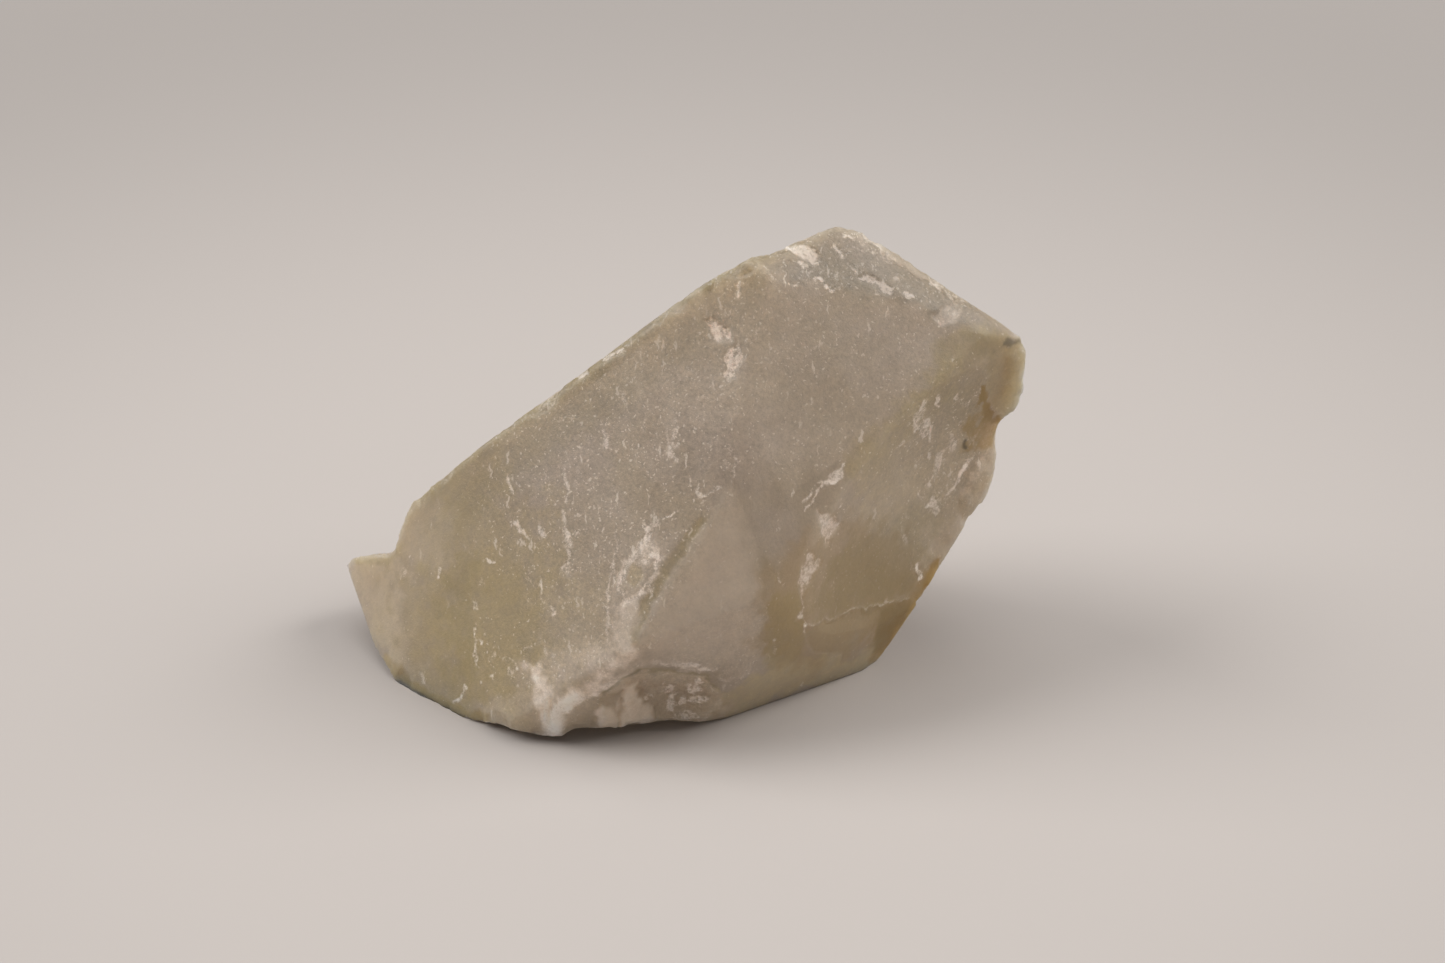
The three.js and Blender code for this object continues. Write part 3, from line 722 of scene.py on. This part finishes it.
def addFrontMarks(points, facing, tints):
    places, seen = frontView(points, facing)
    large, small = border["sizes"]
    share = border["smallShare"]
    wander = [cloud(points, large, seed) + share * cloud(points, small, seed + 2) for seed in border["seeds"]]
    wander = np.stack(wander, axis=1)
    depth = np.zeros(len(points))
    for mark in allMarks():
        warped = places + wander * mark.get("ragged", usualRagged)
        reach = mark["reach"] * pixel
        if "line" in mark:
            fade = 1 - ramp(pathDistance(warped, onSightPlane(mark["line"])), lineCore * reach, reach)
        else:
            fade = 1 - ramp(outlineDistance(warped, onSightPlane(mark["patch"])) / reach, -0.5, 0.5)
        fade *= seen
        for name in tints:
            tints[name] = 1 - (1 - tints[name]) * (1 - fade * mark.get(name, 0))
        depth += fade * mark.get("cut", 0)
    return depth


chipSetup = {
    "edgeChips": 620,
    "edgeDepth": (0.02, 0.22),  # mm
    "edgeStretch": (2.0, 6.0),  # length over depth
    "bladeEnd": -29.5,  # mm across, the thin blade left of this has no chips
    "edgeBend": 0.05,  # how much the facing has to turn for an edge to chip
    "depthPower": 3,  # deep chips are rare
    "tumble": 0.25,  # how far a chip leans from the edge's own facing
    "search": 2.5,  # reaches around a chip that it may touch
    "fresh": {"white": [0, 0.2, 0.55], "share": [0.6, 0.32, 0.08], "fullDepth": 0.1},  # mm
    "seed": 7,
}

# Scars and stains behind. reach and cut are in mm, and start is the share of the reach where one fades.
backMarks = [
    dict(count=70, reach=(0.25, 0.9), stretch=(1, 6), start=0.3, ragged=0.5, cut=(0, 0.1), white=0.75),
    dict(count=22, reach=(0.8, 2.4), stretch=(1, 3), start=0.5, ragged=0.7, cut=(0.05, 0.3), white=0.4,
        veil=0.3),
    dict(count=12, reach=(3.0, 7.0), stretch=(1, 2), start=0.0, ragged=0.6, cut=(0, 0.1), olive=0.7),
    dict(count=8, reach=(2.5, 5.0), stretch=(1, 2), start=0.2, ragged=0.6, cut=(0, 0.15), pale=0.5),
    dict(count=5, reach=(0.6, 1.6), stretch=(1, 3), start=0.0, ragged=0.7, cut=(0, 0.05), rust=0.7),
]
backSetup = {
    "unseen": 0.01,  # a point seen less than this is behind
    "aboveFloor": 1.0,  # mm, no scar is centred lower
    "ragged": [(0.5, 1.1, 31), (0.35, 0.5, 32)],  # share, size in mm and seed
    "strength": (0.5, 1.0),
    "frost": {"size": 9.0, "seed": 41, "range": (-0.3, 0.6)},  # mm
    "seed": 8,
}


def chipEdges(points, leaning, bend, tints):
    rng = np.random.default_rng(chipSetup["seed"])
    spots = rng.choice(np.flatnonzero(bend > chipSetup["edgeBend"]), chipSetup["edgeChips"], replace=False)
    shallow, deep = chipSetup["edgeDepth"]
    fresh = chipSetup["fresh"]
    for spot in spots:
        if points[spot, 0] < chipSetup["bladeEnd"]:
            continue
        depth = shallow + (deep - shallow) * rng.random() ** chipSetup["depthPower"]
        reach = depth * rng.uniform(*chipSetup["edgeStretch"])
        normal = leaning[spot] + rng.normal(0, chipSetup["tumble"], 3)
        normal /= np.linalg.norm(normal)
        offset = points - points[spot]
        near = np.flatnonzero((np.abs(offset) < chipSetup["search"] * reach).all(axis=1))
        height = offset[near] @ normal
        away = (offset[near] ** 2).sum(1) - height ** 2
        cut = np.clip(height + depth * (1 - away / reach ** 2), 0, depth)
        points[near] -= cut[:, None] * normal
        white = rng.choice(fresh["white"], p=fresh["share"]) * np.clip(cut / fresh["fullDepth"], 0, 1)
        tints["white"][near] = np.maximum(tints["white"][near], white)


def scarBack(points, facing, tints):
    rng = np.random.default_rng(backSetup["seed"])
    seen = frontView(points, facing)[1]
    hidden = np.flatnonzero((seen < backSetup["unseen"]) & (points[:, 2] > backSetup["aboveFloor"]))
    ragged = sum(share * cloud(points, size, seed) for share, size, seed in backSetup["ragged"])
    depth = np.zeros(len(points))
    for kind in backMarks:
        for spot in rng.choice(hidden, kind["count"], replace=False):
            reach = rng.uniform(*kind["reach"])
            along = np.cross(facing[spot], rng.normal(0, 1, 3))
            along /= np.linalg.norm(along)
            offset = points - points[spot]
            onward = offset @ along
            stretch = rng.uniform(*kind["stretch"])
            away = np.sqrt(onward ** 2 / stretch ** 2 + (offset ** 2).sum(1) - onward ** 2) / reach
            fade = (1 - ramp(away + ragged * kind["ragged"], kind["start"], 1.0)) * (1 - seen)
            strength = rng.uniform(*backSetup["strength"])
            for name in tints:
                tints[name] = 1 - (1 - tints[name]) * (1 - fade * strength * kind.get(name, 0))
            depth += fade * rng.uniform(*kind["cut"])
    frost = backSetup["frost"]
    spread = ramp(cloud(points, frost["size"], frost["seed"]), *frost["range"])
    tints["frost"] = np.maximum(tints["frost"], spread * (1 - seen))
    return depth


# pale and dark hold the stone's own tones and also painted light and painted shade from the front marks
tintNames = ("white", "veil", "olive", "pale", "dark", "rust", "grit", "frost")
rimLift = {
    "height": 0.85,  # mm
    "spans": [  # from, to across, share of the height, from, to going back, in mm
        (-18.5, -13.4, 0.45, -16, -9),
        (-11.6, 3.5, 1.0, -16, -9),
        (-29.0, -17.0, -1.0, -5, 2),
    ],
    "reach": 7.0,  # mm up the stone
    "ease": (1.6, 4.5),  # mm over which a span comes in and goes out
}


# The front edge clears the floor beside the tip that it leans on, and left of it the edge is let down.
def liftRim(points):
    across, away, height = points.T
    easeIn, easeOut = rimLift["ease"]
    share = np.zeros(len(points))
    for start, end, part, front, back in rimLift["spans"]:
        span = ramp(across, start, start + easeIn) * (1 - ramp(across, end - easeOut, end))
        share += part * span * (1 - ramp(away, front, back))
    points[:, 2] += rimLift["height"] * share * (1 - ramp(height, 0, rimLift["reach"]))


# Wears, ripples and chips the stone and writes its colour marks, painted light and painted shade among them.
def weatherStoneAndPaintShading(mesh, crisp):
    pairs = readPairs(mesh)
    points = readPoints(mesh)
    facing = readFacing(mesh)
    seat = ramp(points[:, 2], *stoneSetup["seatFade"])[:, None]
    liftRim(points)
    start = points.copy()
    for turn, (size, height) in enumerate(stoneSetup["swells"]):
        swell = height * cloud(points, size, turn + 1) * (1 - stoneSetup["swellCalm"] * crisp)
        points += facing * swell[:, None]
    tints = {name: np.zeros(len(points)) for name in tintNames}
    leaning = blurred(facing, pairs, stoneSetup["leanRounds"])
    bend = 1 - np.linalg.norm(leaning, axis=1)
    leaning /= np.linalg.norm(leaning, axis=1)[:, None]
    smooth = blurred(facing, pairs, stoneSetup["reliefRounds"])
    smooth /= np.linalg.norm(smooth, axis=1)[:, None]
    depth = addFrontMarks(start, smooth, tints) + scarBack(start, smooth, tints)
    points -= smooth * depth[:, None]
    chipEdges(points, leaning, bend, tints)
    points = start + (points - start) * seat
    low, high = np.array(cadBox) / mm
    writePoints(mesh, np.clip(points, low, high))
    for name, values in tints.items():
        layer = mesh.attributes.new(name, "FLOAT", "POINT")
        layer.data.foreach_set("value", values)


stone, cadEdges = makeFineCopy(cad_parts["aragonite_stone"])
crisp = softenFacets(stone.data, cadEdges)
print("facets softened")
weatherStoneAndPaintShading(stone.data, crisp)
print("stone weathered")


# pale also serves as painted light, and dark as painted shade, where the front marks use them so
stoneColors = {
    "bodyGrey": (0.535, 0.443, 0.358),
    "bodyBrown": (0.515, 0.42, 0.31),
    "olive": (0.54, 0.43, 0.225),
    "pale": (0.745, 0.63, 0.505),
    "veil": (0.94, 0.81, 0.705),
    "white": (0.97, 0.865, 0.78),
    "fleck": (0.97, 0.87, 0.76),
    "rust": (0.44, 0.285, 0.1),
    "dark": (0.06, 0.057, 0.045),
}
stoneGrain = {
    "drift": (0.11, 3, 0.55),  # lumps per mm, levels of detail and roughness of the grey and brown areas
    "murk": (0.6, 4, 0.6),  # the same for clouds in the body
    "grain": (2.8, 3, 0.85),  # and for its crystals
    "wobble": {"Scale": 1.6, "Detail": 2},
    "wobbleSize": 0.9,  # mm by which flecks are bent
    "dashTurn": -7,  # degrees
    "dashStretch": (1, 0.2, 0.2),
    "dust": (3.3, 0.4, 1.0),  # cells per mm, size in its cell and how many, for each kind of fleck
    "dashes": (1.7, 0.27, 1.3),
    "crumbs": (2.0, 0.36, 0.6),
    "fleckCore": 0.45,  # share of a fleck that is solid
    "fleckShake": 2.2,  # how broken its outline is
    "fleckFade": 0.12,
    "fleckShare": (0.09, 0.5),  # part of the cells with a fleck: everywhere, and more under frost
    "fleckCover": 0.72,
    "paleCalm": 0.45,  # share of flecks and grain lost on pale areas
    "rubbed": (0.45, 0.65),  # grain everywhere, and more under frost
    "speckle": 1.15,
    "mottle": 0.3,
    "bruiseBreak": (2.4, 1.2),  # how grain and murk break up a bruise
    "bruiseCover": 0.84,
    "roughness": (0.36, 0.2, 0.25),  # everywhere, more with grain, more with bruise
    "relief": {"grain": 0.9, "bruise": 0.25, "flecks": 0.2, "grit": 2.2},
    "bump": {"Strength": 0.6, "Distance": 0.12 * mm},
    "glow": {"Subsurface Weight": 1, "Subsurface Radius": (1, 0.93, 0.82), "Subsurface Scale": 6 * mm},
    "veilCloudy": 0.9,
    "clear": 0.3,  # light let straight through
    "ior": 1.53,
}
stoneEdges = {  # the levels at which each area starts and is whole
    "brown": (0.35, 0.65),
    "olive": (-0.3, 0.65),
    "veil": (-0.1, 0.7),
    "frost": (0.3, 0.65),
    "rust": (-0.35, 0.5),
    "bruise": (0.2, 1.0),
    "white": (0.0, 0.9),
}


def makeStoneMaterial():
    material = bpy.data.materials.new("aragonite")
    material.use_nodes = True
    tree = material.node_tree
    shader = tree.nodes["Principled BSDF"]

    def arithmetic(kind):
        return lambda first, second: addNode(tree, "Math", {0: first, 1: second}, operation=kind).outputs[0]

    times, plus, minus, most = map(arithmetic, ("MULTIPLY", "ADD", "SUBTRACT", "MAXIMUM"))

    def vectors(operation, first, second):
        return addNode(tree, "VectorMath", {0: first, 1: second}, operation=operation).outputs[0]

    def rise(value, low, high):
        values = {"Value": value, "From Min": low, "From Max": high}
        return addNode(tree, "MapRange", values, interpolation_type="SMOOTHSTEP").outputs[0]

    def mix(share, first, name):
        values = {0: share, 6: first, 7: (*stoneColors[name], 1)}
        return addNode(tree, "Mix", values, data_type="RGBA").outputs[2]

    def tint(name):
        return addNode(tree, "Attribute", {}, attribute_name=name).outputs["Fac"]

    def noise(vector, name):
        scale, detail, roughness = stoneGrain[name]
        values = {"Vector": vector, "Scale": scale, "Detail": detail, "Roughness": roughness}
        return addNode(tree, "TexNoise", values).outputs["Fac"]

    coords = addNode(tree, "TexCoord", {}).outputs["Object"]
    inMm = vectors("MULTIPLY", coords, (1 / mm,) * 3)
    drift = noise(inMm, "drift")
    murk = noise(inMm, "murk")
    grain = noise(inMm, "grain")

    wobble = addNode(tree, "TexNoise", {"Vector": inMm, **stoneGrain["wobble"]}).outputs["Color"]
    warp = vectors("MULTIPLY", wobble, (stoneGrain["wobbleSize"],) * 3)
    warped = vectors("ADD", inMm, warp)
    turn = (0, math.radians(stoneGrain["dashTurn"]), 0)
    stretched = {"Vector": warped, "Rotation": turn, "Scale": stoneGrain["dashStretch"]}
    upright = addNode(tree, "Mapping", stretched).outputs[0]

    def centred(value, scale):
        return times(minus(value, 0.5), scale)

    def clouded(name):
        return times(tint(name), rise(murk, *stoneEdges[name]))

    # Flecks are dots in random cells, with outlines broken by the grain.
    def specks(vector, name, share):
        scale, size, many = stoneGrain[name]
        cells = addNode(tree, "TexVoronoi", {"Vector": vector, "Scale": scale})
        pick = addNode(tree, "SeparateColor", {0: cells.outputs["Color"]}).outputs[0]
        shaky = plus(cells.outputs["Distance"], centred(grain, stoneGrain["fleckShake"] * size))
        dot = rise(shaky, size, size * stoneGrain["fleckCore"])
        level = plus(minus(pick, 1.0), times(share, many))
        return times(dot, rise(level, 0.0, stoneGrain["fleckFade"]))

    color = mix(rise(drift, *stoneEdges["brown"]), (*stoneColors["bodyBrown"], 1), "bodyGrey")
    color = mix(clouded("olive"), color, "olive")
    # pale: the stone's own paler areas, and painted light on faces the lamps miss
    color = mix(tint("pale"), color, "pale")
    color = mix(clouded("veil"), color, "veil")
    calm = minus(1.0, times(tint("pale"), stoneGrain["paleCalm"]))
    everywhere, underFrost = stoneGrain["rubbed"]
    rubbed = plus(everywhere, times(tint("frost"), underFrost))
    speckled = times(times(centred(grain, stoneGrain["speckle"]), rubbed), calm)
    shade = plus(plus(speckled, centred(murk, stoneGrain["mottle"])), 1.0)
    color = vectors("MULTIPLY", color, shade)

    everywhere, underFrost = stoneGrain["fleckShare"]
    share = plus(everywhere, times(clouded("frost"), underFrost))
    dust = specks(warped, "dust", share)
    dashes = specks(upright, "dashes", share)
    crumbs = specks(warped, "crumbs", share)
    flecks = times(most(most(dust, crumbs), dashes), calm)
    color = mix(times(flecks, stoneGrain["fleckCover"]), color, "fleck")

    color = mix(clouded("rust"), color, "rust")
    byGrain, byMurk = stoneGrain["bruiseBreak"]
    broken = plus(tint("white"), plus(centred(grain, byGrain), centred(murk, byMurk)))
    bruise = times(rise(broken, *stoneEdges["bruise"]), rise(tint("white"), *stoneEdges["white"]))
    color = mix(times(bruise, stoneGrain["bruiseCover"]), color, "white")
    # dark: dark spots, and painted shade along rims, creases and the top cap
    color = mix(tint("dark"), color, "dark")

    least, byGrain, byBruise = stoneGrain["roughness"]
    rough = plus(plus(least, times(grain, byGrain)), times(bruise, byBruise))

    heights = {"grain": grain, "bruise": bruise, "flecks": flecks, "grit": times(tint("grit"), murk)}
    relief = 0.0
    for name, height in heights.items():
        relief = plus(relief, times(height, stoneGrain["relief"][name]))
    bump = addNode(tree, "Bump", {**stoneGrain["bump"], "Height": relief})
    cloudy = most(bruise, times(tint("veil"), stoneGrain["veilCloudy"]))
    clear = times(minus(1.0, cloudy), stoneGrain["clear"])
    setInputs(tree, shader, {
        "Base Color": color, "Roughness": rough, "Normal": bump.outputs[0], "Transmission Weight": clear,
        "IOR": stoneGrain["ior"], **stoneGrain["glow"],
    })
    return material


stone.data.materials.clear()
stone.data.materials.append(makeStoneMaterial())
print("stone material set")
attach(stone, "root")
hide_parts("aragonite_stone")
